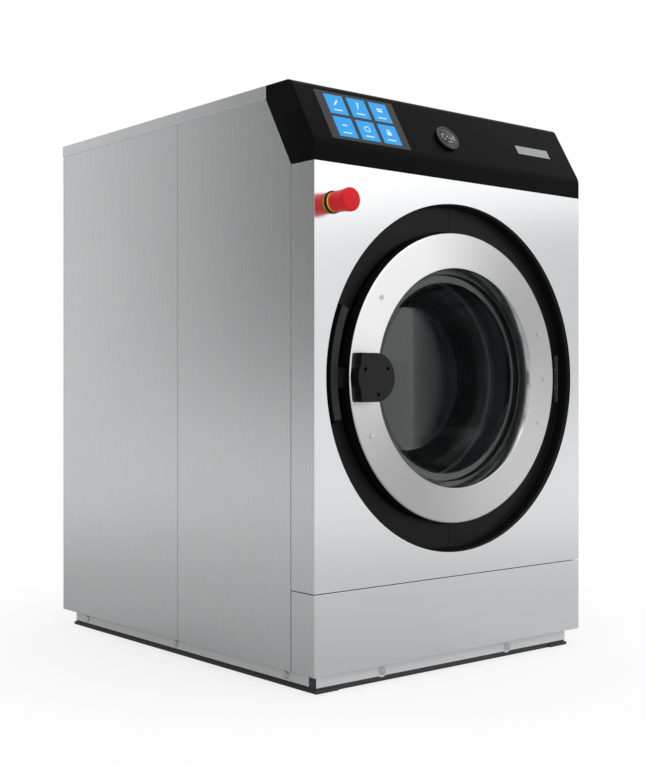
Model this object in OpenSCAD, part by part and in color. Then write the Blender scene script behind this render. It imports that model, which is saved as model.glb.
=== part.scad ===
// Front-loading washer extractor with a rigid tub and a floor-anchored base.
// +Z is up, the front faces -Y, and the origin is on the floor at the centre of the cabinet.

/* [Cabinet] */
// Width over the side panels
cab_w = 720; // [700:1:880]
// Depth from the front panel to the rear panel
cab_d = 902; // [880:1:1100]
// Height to the top of the console and the top cover
cab_h = 1090; // [1080:1:1320]
// Thickness of the sheet panels
sheet_t = 1.5; // [1:0.1:2.5]
// Height of the panels' lower edge above the floor
panel_z = 34; // [30:1:50]
// Height of the lower front panel
lower_h = 145; // [120:1:170]
// Open joint between neighbouring panels
seam = 1.5; // [0.5:0.1:3]
// Depth that the front panels fold back along the sides
front_fold = 66; // [50:1:66]
// Depth of the front pair of side panels
side_front_d = 364; // [300:1:420]
// Width of the folded edges inside the panels
edge_fold = 15; // [10:1:20]
// Height of the top cover's folded edge
cover_fold = 24; // [16:1:26]

/* [Console] */
// Height of the console
console_h = 153; // [140:1:170]
// Height of the console's upright band
console_band = 37; // [30:1:45]
// Depth of the console's top
console_d = 138.5; // [130:0.5:160]
// Height of the console's upright back edge
console_back = 26; // [20:1:30]
// Radius between the sloping face and the top
console_round = 16; // [10:1:50]
// Radius of the bend between the upright band and the sloping face
console_bend = 30; // [5:1:40]
// Wall of the console moulding
console_t = 3; // [2:0.5:4]
// Width of the touch screen
screen_w = 192; // [150:1:210]
// Length of the touch screen up the slope
screen_l = 112; // [90:1:114]
// Distance from the console's left end to the screen
screen_side = 46; // [30:1:70]
// Glass thickness of the touch screen
screen_t = 3; // [2:0.5:4]
// Radius of the selector knob
selector_r = 27; // [22:1:34]
// Sideways place of the selector
selector_x = -9; // [-30:1:60]
// Push travel of the selector
selector_push = 1.5; // [0.5:0.1:2]
// Width of the blank badge plate
badge_w = 98; // [60:1:120]
// Height of the blank badge plate
badge_h = 21; // [15:1:30]
// Distance from the console's right end to the badge plate
badge_side = 65; // [40:1:100]

/* [Emergency stop] */
// Radius of the red head
stop_r = 21; // [16:0.5:24]
// Distance from the cabinet's left side to the button's axis
stop_side = 43; // [40:1:60]
// Distance of the button's axis below the console
stop_drop = 71; // [50:1:90]
// Length of the red head
stop_l = 42; // [25:1:50]
// Push travel of the head
stop_push = 4; // [2:0.5:4]

/* [Door] */
// Height of the door's and the drum's axis
door_z = 558; // [550:1:570]
// Outer radius of the door
door_r = 278; // [268:1:280]
// Width of the door ring around its window
ring_w = 67; // [62:1:71]
// Width of the fixed surround between the door and the front panel
dish_w = 55; // [48:1:60]
// Depth of the closed door
door_t = 28; // [27:1:32]
// Thickness of the door ring's face
ring_t = 4; // [2:0.5:5]
// Depth of the fixed surround's floor behind the front panel
dish_d = 28; // [26:1:34]
// Wall of the surround moulding
dish_t = 3; // [2:0.5:4]
// Thickness of the door glass at its flange
glass_t = 6; // [5:0.5:7]
// Depth of the glass bowl's bottom behind the front panel
bowl_d = 151; // [130:1:165]
// Distance of the glass bowl's bottom edge inside the window
bowl_in = 69; // [65:1:90]
// Distance of the hinge axis outside the door
hinge_out = 22; // [18:1:28]
// Depth of the hinge axis behind the front panel
hinge_d = 15; // [12:1:16]
// Radius of the hinge pin
hinge_pin_r = 4; // [3:0.5:5]
// Length of the hinge barrels
hinge_l = 96; // [80:1:110]
// Radius of the round end of the latch housing
hub_r = 44; // [36:1:50]
// Distance of the latch housing's round end inside the door's edge
hub_in = 45; // [38:1:50]
// Height of the latch housing over the door ring
hub_t = 22; // [15:1:30]
// Half of the angle that the handle recess takes up
grip_angle = 20.6; // [16:0.1:24]
// Angle by which the grip and its recess sit above the door's middle
grip_up = 5; // [0:0.5:8]
// Depth of the handle recess behind the front panel
recess_d = 55; // [48:1:60]

/* [Base] */
// Distance of the base skirts inside the cabinet
base_inset = 20; // [15:1:30]
// Height of the base frame's rails
rail_h = 60; // [50:1:70]
// Width of the base frame's floor flange
rail_w = 50; // [40:1:60]
// Thickness of the rails' uprights
rail_t = 4; // [3:0.5:6]
// Thickness of the floor flange
foot_t = 6; // [4:1:8]
// Radius of the floor anchor holes
anchor_r = 7; // [5:0.5:9]

/* [Tub and drum] */
// Outer radius of the tub
tub_r = 325; // [320:1:328]
// Depth of the tub's front plate behind the front panel
tub_d = 84; // [80:1:88]
// Length of the tub's shell
tub_l = 520; // [500:1:530]
// Wall of the tub
tub_t = 2.5; // [2:0.5:3]
// Distance of the tub's mouth inside the door's window
mouth_in = 17; // [13:1:19]
// Outer radius of the drum
drum_r = 300; // [280:1:305]
// Sheet thickness of the drum
drum_t = 1.5; // [1:0.1:2]
// Distance between the drum and the tub's ends
drum_gap = 16.5; // [10:0.5:20]
// Number of lifters in the drum
lifter_n = 3; // [2:1:4]
// Height of the lifters
lifter_h = 70; // [40:1:90]

/* [Drive] */
// Radius of the shaft in the front bearing
shaft_r = 25; // [20:1:28]
// Radius of the shaft in the rear bearing
shaft_tail_r = 22.5; // [19:0.5:24]
// Outer radius of the front bearing
bearing_r = 55; // [45:1:60]
// Radius of the drum pulley
pulley_r = 180; // [150:1:200]
// Radius of the motor pulley
motor_pulley_r = 36; // [30:1:45]
// Width of the pulleys
pulley_w = 34; // [26:1:40]
// Thickness of the belt
belt_t = 5; // [3:0.5:6]
// Sideways place of the motor
motor_x = 180; // [150:1:200]
// Height of the motor's axis over the base rails
motor_lift = 90; // [82:1:96]
// Radius of the motor's housing
motor_r = 80; // [60:1:82]
// Length of the motor's housing
motor_l = 220; // [180:1:225]
// Radius of the motor's shaft
motor_shaft_r = 14; // [10:1:16]

/* [Water] */
// Radius of the drain pipe
drain_r = 38; // [30:1:40]
// Height of the drain pipe's axis
drain_z = 115; // [108:1:125]
// Length of the drain spigot behind the cabinet
drain_out = 48; // [30:1:60]
// Radius of the water inlets' threaded stubs
inlet_r = 13.2; // [10:0.1:17]
// Height of the water inlets
inlet_z = 900; // [895:1:930]

/* [Clearances] */
// Radial clearance of pins and shafts that turn
run_gap = 0.05; // [0.02:0.01:0.1]
// Clearance between parts that slide past each other
slide_gap = 0.5; // [0.3:0.1:1]
// Gap between the closed door and the surround
door_gap = 4; // [3:0.5:6]

/* [Hidden] */
$fn = 96;

half_w = cab_w / 2;
front_y = -cab_d / 2;
eps = 1;
left_side = -1;
right_side = 1;

// Cabinet heights
console_z = cab_h - console_h;
bend_z = console_z + console_band;
seam_z = panel_z + lower_h;
panel_top_z = cab_h - sheet_t - slide_gap;
side_front_end = front_fold + side_front_d;

// Console: the sloping face leans back by this angle from upright
slope_a = 30;
slope_l = (cab_h - bend_z) / cos(slope_a);
round_run = console_round * tan((90 - slope_a) / 2);
round_d = (cab_h - bend_z) * tan(slope_a) + round_run;
back_z = cab_h - console_back;
back_foot_d = console_d - (back_z - console_z) * tan(slope_a);
screen_s = 8 + screen_l / 2;
screen_x = -half_w + screen_side + screen_w / 2;
badge_x = half_w - badge_side - badge_w / 2;
badge_s = 58;
badge_t = 1.5;
selector_s = slope_l / 2 - 15;
knob_h = 4.5;
knob_sink = 3;
knob_gap = selector_push + slide_gap;
knob_shaft_r = 4;
bush_r = 7.9;
bush_gap = 0.1;
encoder_l = 16;
encoder_w = 22;

// Emergency stop
stop_x = -half_w + stop_side;
stop_z = console_z - stop_drop;
collar_t = 3;
stop_ring_t = 4.5;
stop_stem_r = 5;
stop_neck_r = 11;
stop_neck_l = 20;
stop_skirt_t = 1.4;
stop_back = collar_t + stop_ring_t + 0.1;

// Door and its parts
window_r = door_r - ring_w;
hole_r = door_r + dish_w;
mouth_r = window_r - mouth_in;
bowl_r = window_r - bowl_in;
hinge_x = door_r + hinge_out;
hub_x = door_r - hub_in;
rim_d = 8;
carrier_r = door_r - 0.5;
carrier_t = 2.5;
carrier_in = window_r + 3;
lip_d = door_t - 2;
lip_r = window_r - 11;
flange_d = lip_d + 1;
flange_back = flange_d + glass_t;
flange_r = carrier_in - glass_t;
clamp_r = flange_r - 7;
clamp_t = 3;
lug_t = 6.5;
dish_in_r = door_r + door_gap;
dish_floor_r = hole_r - 5;
inner_floor_d = flange_back + clamp_t + 4;
seal_r = mouth_r - 3;
seal_out_r = mouth_r + 6;
seal_d = flange_back + 0.4;
neck_t = 2.5;
neck_d = seal_d + 12.6;
surround_in_r = seal_out_r + 9;
recess_r = [door_r + 14, dish_floor_r - 2];
recess_t = 2.5;
grip_r = [door_r + 22, door_r + 38];
grip_d = [8, 24];
lever_x = -(door_r - 22);
lever_d = 16;
lever_pin_r = 3.5;
boss_r = 7;
boss_h = 19;
tongue_d = lever_d + 46;
tongue_w = 12;
tongue_h = 10;
bolt_d = tongue_d - 8;
bolt_r = 3.2;
bolt_travel = 22;
lock_d = [inner_floor_d + dish_t + 1, tub_d - tub_t - slide_gap];
lock_x = [lever_x - 28, lever_x + 20];
lock_h = 38;
pocket_h = 13;
screw_ring_r = door_r - 29;
screw_angles = [0, 21, -21, 144, -155];
hub_screw_r = 31;
hub_screw_angles = [152, 32, -82];
barrel_r = 7;
barrel_share = 0.4;

// Base
skirt_t = sheet_t;
frame_x = half_w - base_inset - skirt_t;
frame_d = [base_inset + skirt_t, cab_d - base_inset - skirt_t];
skirt_z = [foot_t + 4, panel_z - 4];
skirt_end = 41;
anchor_x = frame_x - rail_t - 22;
anchor_d = 60;
foot_l = 100;
bolt_head_r = 7;
bolt_shank_r = 3;
side_bolt_z = 20;
tab_r = 12;
tab_z = skirt_z[0] + 9;
side_bolts = [0.115, 0.515, 0.915];
front_bolts = [-0.253, 0.219];

// Inner frame
post_w = 30;
post_t = 3;
post_x = half_w - sheet_t;
post_d = [front_fold + seam + 2 * sheet_t, cab_d - 2 * sheet_t];
post_front_z = console_z - 10;
saddle_t = 6;
saddle_d = [150, 460];
saddle_z = door_z - 130;

// Tub, drum and drive, as depths behind the front panel
motor_z = rail_h + motor_lift;
tub_end = tub_d + tub_l;
back_t = 6;
drum_d = tub_d + drum_gap;
spider_t = 36;
drum_end = tub_end - drum_gap - spider_t - 2;
drum_mouth_r = mouth_r + 2;
drum_lip = 8;
hub_bore_r = shaft_r + 5;
spider_hub_r = 60;
housing_d = tub_end + back_t;
housing_l = 130;
housing_flange_t = 12;
bearing_w = 27;
tail_bearing_w = 25;
tail_bearing_r = bearing_r - 5;
seal_hole_r = 40;
pulley_d = housing_d + housing_l + 7;
pulley_hub_r = 45;
pulley_bore_r = shaft_tail_r - 2.5;
belt_w = pulley_w - 6;
belt_gap = 0.3;
heater_r = 4.2;
heater_place = (drum_r + tub_r - tub_t) / 2;
heater_angles = [-106, -98, -82, -74];
drain_d = 350;
valve_l = 42;
inlet_x = [-210, -150];
inlet_l = 18;
hose_r = 9;
gland_x = half_w - 110;
gland_z = cab_h - 110;
gland_r = 7;
drive_rails = [520, 650];

function slope_point(s, out = 0) = [
    front_y + s * sin(slope_a) - out * cos(slope_a),
    bend_z + s * cos(slope_a) + out * sin(slope_a)
];

// A plain block between two places across, in depth and in height
module block(x0, x1, d0, d1, z0, z1) {
    translate([x0, front_y + d0, z0]) cube([x1 - x0, d1 - d0, z1 - z0]);
}

// Local +Z points to the rear, along the drum's axis
module on_axis(d = 0, x = 0, z = door_z) {
    translate([x, front_y + d, z]) rotate([-90, 0, 0]) children();
}

// Local +Z points out of the console's sloping face, local +Y up the slope
module on_slope(x, s) {
    p = slope_point(s);
    translate([x, p[0], p[1]]) rotate([90 - slope_a, 0, 0]) children();
}

// A round part drawn as radius against depth
module turned(points) {
    on_axis() rotate_extrude() polygon(points);
}

module rod(r, d0, d1, x = 0, z = door_z) {
    on_axis(d0, x, z) cylinder(h = d1 - d0, r = r);
}

module tube(r_out, r_in, d0, d1, x = 0, z = door_z) {
    difference() {
        rod(r_out, d0, d1, x, z);
        rod(r_in, d0 - eps, d1 + eps, x, z);
    }
}

module upright(r, x, d, z0, z1) {
    translate([x, front_y + d, z0]) cylinder(h = z1 - z0, r = r);
}

// A wedge that opens to the left of the door's axis
module left_wedge(half_angle, d0, d1) {
    reach = 2 * hole_r;
    side = reach * tan(half_angle);
    on_axis(d0) linear_extrude(d1 - d0) rotate(grip_up) polygon([[0, 0], [-reach, side], [-reach, -side]]);
}

module base_angle_x(d_web, d_flange) {
    block(-frame_x, frame_x, min(d_web, d_web + rail_t), max(d_web, d_web + rail_t), 0, rail_h);
    block(-frame_x, frame_x, min(d_flange), max(d_flange), 0, foot_t);
}

module base_frame() {
    color("dimgray") difference() {
        union() {
            for (s = [left_side, right_side]) {
                web = [s * frame_x, s * (frame_x - rail_t)];
                lip = [s * (frame_x + skirt_t + 1.5), s * (frame_x - rail_w)];
                block(min(web), max(web), frame_d[0], frame_d[1], 0, rail_h);
                block(min(lip), max(lip), frame_d[0], frame_d[1], 0, foot_t);
                for (d = [frame_d[0] - 4, frame_d[1] + 4 - foot_l])
                    block(min(lip), max(lip), d, d + foot_l, 0, foot_t);
            }
            base_angle_x(frame_d[0], [frame_d[0], frame_d[0] + rail_w]);
            base_angle_x(frame_d[1] - rail_t, [frame_d[1] - rail_w, frame_d[1]]);
            for (d = drive_rails) block(-frame_x, frame_x, d, d + 40, rail_h - 20, rail_h);
        }
        for (x = [-anchor_x, anchor_x], d = [anchor_d, cab_d - anchor_d])
            upright(anchor_r, x, d, -eps, foot_t + eps);
    }
}

module skirt_front() {
    color("silver") difference() {
        union() {
            block(-frame_x, frame_x, base_inset, base_inset + skirt_t, skirt_z[0], skirt_z[1]);
            for (f = front_bolts) rod(tab_r, base_inset, base_inset + skirt_t, f * cab_w, tab_z);
        }
        for (f = front_bolts)
            rod(bolt_shank_r, base_inset - eps, base_inset + skirt_t + eps, f * cab_w, tab_z);
    }
}

module side_skirts() {
    color("silver") for (s = [left_side, right_side]) {
        x = [s * frame_x, s * (frame_x + skirt_t)];
        difference() {
            block(min(x), max(x), skirt_end, frame_d[1] - 3, skirt_z[0], skirt_z[1]);
            for (f = side_bolts) translate([s * frame_x, front_y + f * cab_d, side_bolt_z])
                rotate([0, 90, 0]) cylinder(h = 10, r = bolt_shank_r, center = true);
        }
    }
}

// Round head outside the skirt, shank through it, local +Z outwards
module skirt_bolt() {
    cylinder(h = 3.5, r = bolt_head_r);
    translate([0, 0, -skirt_t]) cylinder(h = skirt_t + 0.5, r = bolt_shank_r);
}

module skirt_bolts() {
    color("lightgray") {
        for (s = [left_side, right_side], f = side_bolts)
            translate([s * (frame_x + skirt_t), front_y + f * cab_d, side_bolt_z])
                rotate([0, s * 90, 0]) skirt_bolt();
        for (f = front_bolts)
            translate([f * cab_w, front_y + base_inset, tab_z]) rotate([90, 0, 0]) skirt_bolt();
    }
}

// Angle post in a corner: s is the side, the second leg runs across at the given depth
module post(s, d, leg, top) {
    outer = [s * (post_x - post_t), s * post_x];
    across = [s * (post_x - post_w), s * post_x];
    block(min(outer), max(outer), min(d, d + leg), max(d, d + leg), rail_h, top);
    block(min(across), max(across), d + (leg < 0 ? -post_t : 0), d + (leg < 0 ? 0 : post_t), rail_h, top);
}

module saddle(d) {
    difference() {
        block(-frame_x, frame_x, d, d + saddle_t, rail_h, saddle_z);
        rod(tub_r, d - eps, d + saddle_t + eps);
        block(-drain_r - 20, drain_r + 20, d - eps, d + saddle_t + eps, rail_h - eps, drain_z + drain_r + 20);
    }
    for (s = [left_side, right_side]) {
        tie = [s * frame_x, s * (post_x - post_t)];
        block(min(tie), max(tie), d, d + saddle_t, rail_h, saddle_z);
    }
}

module cabinet_frame() {
    rail_z = [panel_top_z - post_w - 8, panel_top_z - 8];
    mid_d = console_d + 20;
    color("gray") {
        for (s = [left_side, right_side]) {
            side = [s * (post_x - post_t), s * post_x];
            rail = [s * (post_x - edge_fold - post_t), s * (post_x - edge_fold)];
            post(s, post_d[0], post_w, post_front_z);
            post(s, mid_d, post_w, rail_z[1]);
            post(s, post_d[1], -post_w, rail_z[1]);
            block(min(rail), max(rail), post_d[0], post_d[1], rail_h, rail_h + post_w);
            block(min(rail), max(rail), mid_d, post_d[1], rail_z[0], rail_z[1]);
            block(min(side), max(side), post_d[0], mid_d + post_w, post_front_z - post_w, post_front_z);
        }
        across = post_x - post_t;
        block(-across, across, mid_d, mid_d + post_t, rail_z[0], rail_z[1]);
        block(-across, across, post_d[1] - post_t, post_d[1], rail_z[0], rail_z[1]);
        for (d = saddle_d) saddle(d);
    }
}

// Side panel outline as depth against height, cut back under the console at the front
module side_panel(s, d0, d1, front) {
    x = [s * (half_w - sheet_t), s * half_w];
    fold = [s * (half_w - sheet_t), s * (half_w - sheet_t - edge_fold)];
    top = panel_top_z;
    slant = (top - console_z) * tan(slope_a);
    outline = front
        ? [[d0, panel_z], [d1, panel_z], [d1, top], [console_d + slide_gap, top],
           [console_d + slide_gap, back_z], [back_foot_d + slide_gap, console_z - slide_gap],
           [d0, console_z - slide_gap]]
        : [[d0, panel_z], [d1, panel_z], [d1, top], [d0, top]];
    color("darkgray") {
        translate([min(x), front_y, 0]) rotate([90, 0, 90]) linear_extrude(sheet_t) polygon(outline);
        block(min(fold), max(fold), d0, d0 + sheet_t, panel_z, front ? console_z - 12 : top);
        block(min(fold), max(fold), d1 - sheet_t, d1, panel_z, top);
    }
}

module side_panel_left_front() {
    side_panel(left_side, front_fold + seam / 2, side_front_end - seam / 2, true);
}

module side_panel_left_rear() {
    side_panel(left_side, side_front_end + seam / 2, cab_d - sheet_t, false);
}

module side_panel_right_front() {
    side_panel(right_side, front_fold + seam / 2, side_front_end - seam / 2, true);
}

module side_panel_right_rear() {
    side_panel(right_side, side_front_end + seam / 2, cab_d - sheet_t, false);
}

module rear_panel() {
    color("darkgray") difference() {
        block(-half_w, half_w, cab_d - sheet_t, cab_d, panel_z, panel_top_z);
        rod(drain_r + slide_gap, cab_d - 5, cab_d + eps, 0, drain_z);
        for (x = inlet_x) rod(inlet_r + slide_gap, cab_d - 5, cab_d + eps, x, inlet_z);
        rod(gland_r + 3, cab_d - 5, cab_d + eps, gland_x, gland_z);
        for (x = [-150 : 25 : 150], row = [0, 1])
            block(x - 3, x + 3, cab_d - 5, cab_d + eps, 220 + 110 * row, 290 + 110 * row);
    }
}

// Front sheet with its folded sides
module folded_front(z0, z1) {
    block(-half_w, half_w, 0, sheet_t, z0, z1);
    for (s = [left_side, right_side]) {
        x = [s * (half_w - sheet_t), s * half_w];
        block(min(x), max(x), 0, front_fold - seam / 2, z0, z1);
    }
}

module front_panel() {
    color("gainsboro") difference() {
        union() {
            folded_front(seam_z + seam / 2, console_z - slide_gap);
            rod(hole_r + sheet_t, 0, rim_d);
            block(-half_w, half_w, 0, edge_fold, seam_z + seam / 2, seam_z + seam / 2 + sheet_t);
        }
        rod(hole_r, -eps, rim_d + eps);
        rod(stop_neck_r, -eps, sheet_t + eps, stop_x, stop_z);
    }
}

module lower_front_panel() {
    color("gainsboro") {
        folded_front(panel_z, seam_z - seam / 2);
        block(-half_w, half_w, 0, edge_fold, panel_z, panel_z + sheet_t);
        block(-half_w, half_w, 0, edge_fold, seam_z - seam / 2 - sheet_t, seam_z - seam / 2);
    }
}

module top_cover() {
    d0 = console_d + slide_gap;
    over = half_w + sheet_t;
    rim_z = cab_h - cover_fold;
    color("silver") {
        block(-over, over, d0, cab_d + sheet_t, cab_h - sheet_t, cab_h);
        for (s = [left_side, right_side]) {
            x = [s * half_w, s * over];
            block(min(x), max(x), d0, cab_d + sheet_t, rim_z, cab_h);
        }
        block(-over, over, cab_d, cab_d + sheet_t, rim_z, cab_h);
    }
}

// Console outline as depth against height; inset moves the front, the slope and the top inwards
// Rounded bend between the upright band and the sloping face, tangent to both
function console_bend_arc() = [
    for (i = [0 : 10])
        let (a = slope_a * i / 10)
        [console_bend * (1 - cos(a)), bend_z - console_bend * (tan(slope_a / 2) - sin(a))]
];

function console_arc(inset) = [
    for (i = [0 : 8]) let (a = 90 - slope_a - i * (90 - slope_a) / 8)
        [round_d - (console_round - inset) * sin(a), cab_h - console_round + (console_round - inset) * cos(a)]
];

module console_outline() {
    polygon(concat(
        [[0, console_z]],
        console_bend_arc(),
        console_arc(0),
        [[console_d, cab_h], [console_d, back_z], [back_foot_d, console_z]]
    ));
}

module console_hollow() {
    inset = console_t;
    bend_up = inset * tan(slope_a / 2);
    polygon(concat(
        [[inset, console_z - eps], [inset, bend_z + bend_up]],
        console_arc(inset),
        [[console_d + eps, cab_h - inset], [console_d + eps, back_z - eps], [back_foot_d, console_z - eps]]
    ));
}

module across_console(width) {
    translate([-width / 2, front_y, 0]) rotate([90, 0, 90]) linear_extrude(width) children();
}

module console_housing() {
    bezel = 8;
    color("black") difference() {
        across_console(cab_w) console_outline();
        across_console(cab_w - 2 * console_t) console_hollow();
        on_slope(screen_x, screen_s) {
            translate([-screen_w / 2, -screen_l / 2, -screen_t / 2]) cube([screen_w, screen_l, screen_t]);
            translate([-screen_w / 2 + bezel, -screen_l / 2 + bezel, -3 * console_t])
                cube([screen_w - 2 * bezel, screen_l - 2 * bezel, 6 * console_t]);
        }
        on_slope(selector_x, selector_s)
            translate([0, 0, -3 * console_t]) cylinder(h = 6 * console_t, r = bush_r + bush_gap);
    }
}

module touch_screen() {
    color("dimgray") on_slope(screen_x, screen_s)
        translate([-screen_w / 2 + 0.2, -screen_l / 2 + 0.2, -screen_t / 2])
            cube([screen_w - 0.4, screen_l - 0.4, screen_t / 2]);
}

module badge_plate() {
    color("lightgray") on_slope(badge_x, badge_s)
        translate([-badge_w / 2, -badge_h / 2, 0]) cube([badge_w, badge_h, badge_t]);
}

// Encoder body under the console's skin, with the bush that guides the shaft
module selector_encoder() {
    color("darkslategray") on_slope(selector_x, selector_s) difference() {
        union() {
            translate([-encoder_w / 2, -encoder_w / 2, -console_t - encoder_l])
                cube([encoder_w, encoder_w, encoder_l]);
            translate([0, 0, -console_t]) cylinder(h = console_t, r = bush_r);
        }
        translate([0, 0, -console_t - encoder_l + 2])
            cylinder(h = encoder_l + 20, r = knob_shaft_r + run_gap);
    }
}

module selector_shaft() {
    color("silver") on_slope(selector_x, selector_s) {
        translate([0, 0, -console_t - encoder_l + 5])
            cylinder(h = encoder_l + console_t - 5, r = knob_shaft_r);
        cylinder(h = knob_gap + knob_sink - 0.3, r = knob_shaft_r);
    }
}

module selector_knob() {
    color("dimgray") on_slope(selector_x, selector_s) difference() {
        translate([0, 0, knob_gap]) cylinder(h = knob_h, r = selector_r);
        translate([0, 0, knob_gap - eps]) cylinder(h = eps + knob_sink, r = knob_shaft_r + run_gap);
    }
}

module stop_collar() {
    color("black") difference() {
        union() {
            rod(stop_r - 0.6, -collar_t, 0, stop_x, stop_z);
            rod(stop_neck_r, -collar_t, stop_neck_l, stop_x, stop_z);
        }
        rod(stop_stem_r + run_gap, -collar_t - eps, stop_neck_l + eps, stop_x, stop_z);
    }
}

module stop_ring() {
    color("yellow") tube(stop_r - stop_skirt_t - slide_gap, stop_stem_r + 4,
        -collar_t - stop_ring_t, -collar_t, stop_x, stop_z);
}

module stop_contacts() {
    color("darkslategray") difference() {
        block(stop_x - 16, stop_x + 16, stop_neck_l, stop_neck_l + 34, stop_z - 20, stop_z + 20);
        rod(stop_stem_r + slide_gap, stop_neck_l - eps, stop_neck_l + 12, stop_x, stop_z);
    }
}

module stop_stem() {
    color("gray") rod(stop_stem_r, -stop_back - 12, stop_neck_l + 4, stop_x, stop_z);
}

module stop_head() {
    face = stop_back + stop_l;
    color("red") difference() {
        rod(stop_r, -face, -stop_back, stop_x, stop_z);
        rod(stop_r - stop_skirt_t, -stop_back - stop_push - 2, -stop_back + eps, stop_x, stop_z);
        rod(stop_stem_r + run_gap, -stop_back - 12.5, -stop_back, stop_x, stop_z);
    }
}

// Fixed dished ring around the door, as radius against depth
module surround_ring() {
    t = dish_t;
    turned([
        [hole_r + 7, rim_d], [hole_r - 1, rim_d], [dish_floor_r, dish_d], [dish_in_r, dish_d],
        [dish_in_r, inner_floor_d], [surround_in_r, inner_floor_d], [surround_in_r, inner_floor_d + t],
        [dish_in_r + t, inner_floor_d + t], [dish_in_r + t, dish_d + t],
        [dish_floor_r + 2.6, dish_d + t], [hole_r + 1.4, rim_d + t], [hole_r + 7, rim_d + t]
    ]);
}

module half_space(s, d0, d1) {
    x = [s * 0.4, s * 2 * hole_r];
    block(min(x), max(x), d0, d1, door_z - 2 * hole_r, door_z + 2 * hole_r);
}

module surround_left() {
    color("black") difference() {
        union() {
            intersection() {
                surround_ring();
                half_space(left_side, 0, recess_d);
            }
            intersection() {
                tube(recess_r[1] + recess_t, recess_r[0] - recess_t, dish_d, recess_d + recess_t);
                left_wedge(grip_angle + 0.5, dish_d - eps, recess_d + recess_t + eps);
            }
        }
        intersection() {
            tube(recess_r[1], recess_r[0], dish_d - eps, recess_d);
            left_wedge(grip_angle, dish_d - 2 * eps, recess_d + eps);
        }
        block(lever_x - 19, lever_x + 10, inner_floor_d - eps, inner_floor_d + dish_t + eps,
            door_z - pocket_h, door_z + pocket_h);
    }
}

module surround_right() {
    color("black") intersection() {
        surround_ring();
        half_space(right_side, 0, recess_d);
    }
}

module hinge_bracket() {
    barrel = hinge_l * (1 - barrel_share) / 2;
    color("gray") difference() {
        union() {
            block(hinge_x - 4, hinge_x + 22, dish_d - 4, dish_d, door_z - hinge_l / 2, door_z + hinge_l / 2);
            for (z = [door_z - hinge_l / 2, door_z + hinge_l / 2 - barrel]) {
                upright(barrel_r, hinge_x, hinge_d, z, z + barrel);
                block(hinge_x, hinge_x + barrel_r, hinge_d, dish_d - 3, z, z + barrel);
            }
        }
        upright(hinge_pin_r, hinge_x, hinge_d, door_z - hinge_l, door_z + hinge_l);
    }
}

module hinge_pin() {
    color("silver") upright(hinge_pin_r, hinge_x, hinge_d, door_z - hinge_l / 2, door_z + hinge_l / 2);
}

module hinge_leaf() {
    barrel = hinge_l * barrel_share / 2 - slide_gap;
    plate_h = 40;
    inside = sqrt(pow(carrier_r - carrier_t, 2) - pow(plate_h, 2)) - 1;
    color("gray") difference() {
        union() {
            block(inside - 35, inside, door_t - 8, door_t - 2, door_z - plate_h, door_z + plate_h);
            block(inside - 10, hinge_x - barrel_r, door_t - 11, door_t - 6, door_z - barrel, door_z + barrel);
            block(hinge_x - barrel_r - eps, hinge_x, hinge_d, door_t - 6, door_z - barrel, door_z + barrel);
            upright(barrel_r, hinge_x, hinge_d, door_z - barrel, door_z + barrel);
        }
        upright(hinge_pin_r + run_gap, hinge_x, hinge_d, door_z - hinge_l, door_z + hinge_l);
    }
}

// Polished ring: flat face and a sloping inner wall down to the glass
module door_ring() {
    color("gainsboro") difference() {
        turned([
            [window_r, 0], [door_r - 2, 0], [door_r, 2], [door_r, ring_t],
            [window_r + 2, ring_t], [lip_r + 2, lip_d], [lip_r, lip_d]
        ]);
        for (a = screw_angles)
            rod(2.5, -eps, ring_t + eps, screw_ring_r * cos(a), door_z + screw_ring_r * sin(a));
    }
}

// Moulded channel behind the ring, with the clamp that holds the glass
module door_carrier() {
    t = carrier_t;
    back = [door_t - 2, door_t];
    barrel = hinge_l * barrel_share / 2;
    color("black") difference() {
        union() {
            turned([
                [carrier_r, ring_t], [carrier_r - t, ring_t], [carrier_r - t, back[0]],
                [carrier_in + 3, back[0]], [carrier_in + 3, ring_t], [carrier_in, ring_t],
                [carrier_in, flange_back], [clamp_r, flange_back], [clamp_r, flange_back + clamp_t],
                [carrier_in + 3, flange_back + clamp_t], [carrier_in + 3, back[1]], [carrier_r, back[1]]
            ]);
            for (z = [door_z - boss_h - 0.5 - lug_t, door_z + boss_h + 0.5])
                block(lever_x - boss_r, lever_x + boss_r, lever_d - boss_r, back[1] - 1, z, z + lug_t);
        }
        block(-door_r - 1, -carrier_r + 8, ring_t, back[0] - 1, door_z - boss_h - 1, door_z + boss_h + 1);
        block(lever_x - 14, lever_x + 9, back[0] - eps, back[1] + eps,
            door_z - tongue_h - 2, door_z + tongue_h + 2);
        block(carrier_r - 8, door_r + 1, door_t - 11.5, back[0] - 3.5, door_z - barrel, door_z + barrel);
        upright(lever_pin_r, lever_x, lever_d, door_z - boss_h - 20, door_z + boss_h + 20);
    }
}

// Pressed glass bowl with a step, deep enough to keep the load off the seal
module door_glass() {
    wall = glass_t - 1;
    step_d = [69, 94];
    color("lightblue", 0.4) turned([
        [0, bowl_d - glass_t], [bowl_r - 2, bowl_d - glass_t], [bowl_r + 14, step_d[1]],
        [mouth_r - 15, step_d[0]], [mouth_r - 13, flange_d], [flange_r, flange_d],
        [flange_r, flange_back], [mouth_r - 9, flange_back], [mouth_r - 15 + wall, step_d[0] + 3],
        [bowl_r + 14 + wall, step_d[1] + 3], [bowl_r + 4, bowl_d], [0, bowl_d]
    ]);
}

module door_gasket() {
    color("dimgray") turned([
        [flange_r - 9, lip_d], [carrier_in, lip_d], [carrier_in, flange_back],
        [flange_r, flange_back], [flange_r, flange_d], [flange_r - 9, flange_d]
    ]);
}

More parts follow.
